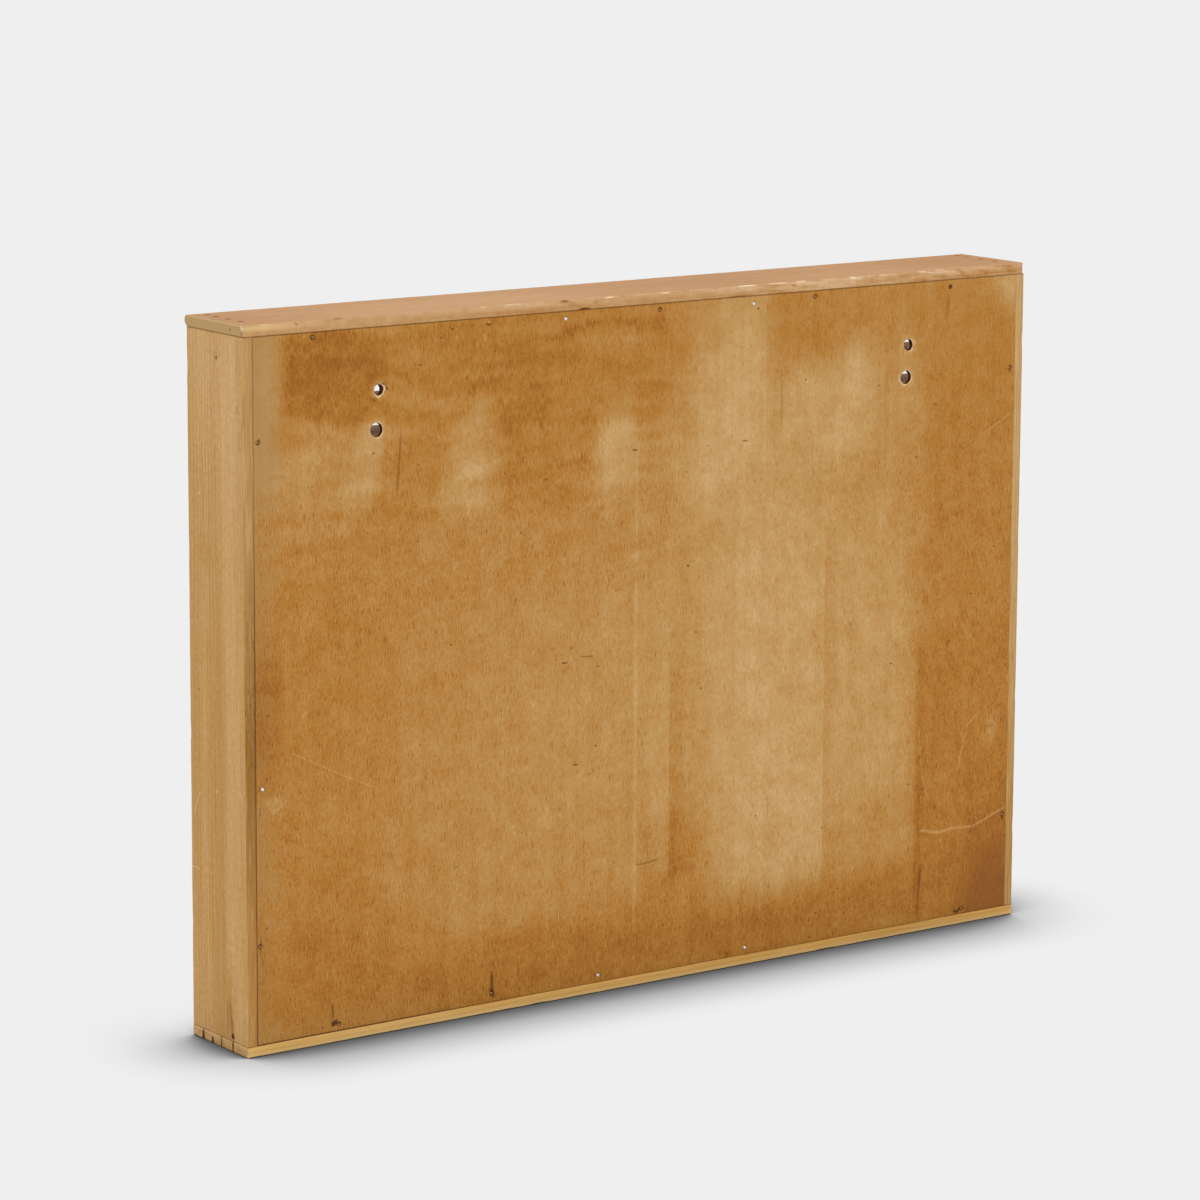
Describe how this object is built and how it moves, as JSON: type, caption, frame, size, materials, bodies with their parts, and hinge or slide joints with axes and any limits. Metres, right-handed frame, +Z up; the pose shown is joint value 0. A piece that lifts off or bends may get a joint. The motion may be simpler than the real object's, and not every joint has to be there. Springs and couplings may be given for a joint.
{
  "type": "cassette storage box",
  "caption": "Open-fronted wooden box for boxed compact cassettes, with a slatted lattice inside and hang holes through its nailed plywood back.",
  "frame": {"origin": "centre of the underside, on the surface that the box stands on, midway between the top board's front and rear edges", "axes": "+X to the box's right seen from its open front, +Y towards the back panel and the wall, +Z up"},
  "size_m": [0.598, 0.0664, 0.44],
  "materials": {
    "top_wood": "clear-oiled softwood, pinkish tan, satin",
    "bottom_wood": "clear-oiled softwood, golden tan, satin",
    "side_wood": "clear-oiled softwood, light tan, upright grain, satin",
    "panel_ply": "plywood, orange-brown with paler patches, upright grain, satin",
    "rail_wood": "plain softwood strip, matt",
    "divider_wood": "plain softwood, upright grain, matt",
    "slat_wood": "thin softwood slat, matt",
    "t_nail_steel": "dark, lightly rusted",
    "dark_nail": "dark, lightly rusted",
    "bright_nail": "bright bare steel"
  },
  "bodies": {
    "root": {"top_board": "top_wood", "bottom_board": "bottom_wood", "side_left": "side_wood", "side_right": "side_wood", "back_panel": "panel_ply", "top_rail": "rail_wood", "bottom_rail": "rail_wood", "divider_1": "divider_wood", "divider_2": "divider_wood", "divider_3": "divider_wood", "divider_4": "divider_wood", "slat_01": "slat_wood", "slat_02": "slat_wood", "slat_03": "slat_wood", "slat_04": "slat_wood", "slat_05": "slat_wood", "slat_06": "slat_wood", "slat_07": "slat_wood", "slat_08": "slat_wood", "slat_09": "slat_wood", "slat_10": "slat_wood", "slat_11": "slat_wood", "slat_12": "slat_wood", "slat_13": "slat_wood", "slat_14": "slat_wood", "slat_15": "slat_wood", "slat_16": "slat_wood", "slat_17": "slat_wood", "slat_18": "slat_wood", "slat_19": "slat_wood", "top_nail_left_1": "t_nail_steel", "top_nail_left_2": "t_nail_steel", "top_nail_left_3": "t_nail_steel", "top_nail_left_4": "t_nail_steel", "top_nail_right_1": "t_nail_steel", "top_nail_right_2": "t_nail_steel", "top_nail_right_3": "t_nail_steel", "top_nail_right_4": "t_nail_steel", "bottom_nail_left_1": "t_nail_steel", "bottom_nail_left_2": "t_nail_steel", "bottom_nail_left_3": "t_nail_steel", "bottom_nail_left_4": "t_nail_steel", "bottom_nail_right_1": "t_nail_steel", "bottom_nail_right_2": "t_nail_steel", "bottom_nail_right_3": "t_nail_steel", "bottom_nail_right_4": "t_nail_steel", "panel_nail_01": "dark_nail", "panel_nail_02": "bright_nail", "panel_nail_03": "bright_nail", "panel_nail_04": "dark_nail", "panel_nail_05": "dark_nail", "panel_nail_06": "bright_nail", "panel_nail_07": "dark_nail", "panel_nail_08": "dark_nail", "panel_nail_09": "dark_nail", "panel_nail_10": "dark_nail", "panel_nail_11": "dark_nail", "panel_nail_12": "bright_nail", "panel_nail_13": "bright_nail", "panel_nail_14": "dark_nail"}
  },
  "joints": []
}
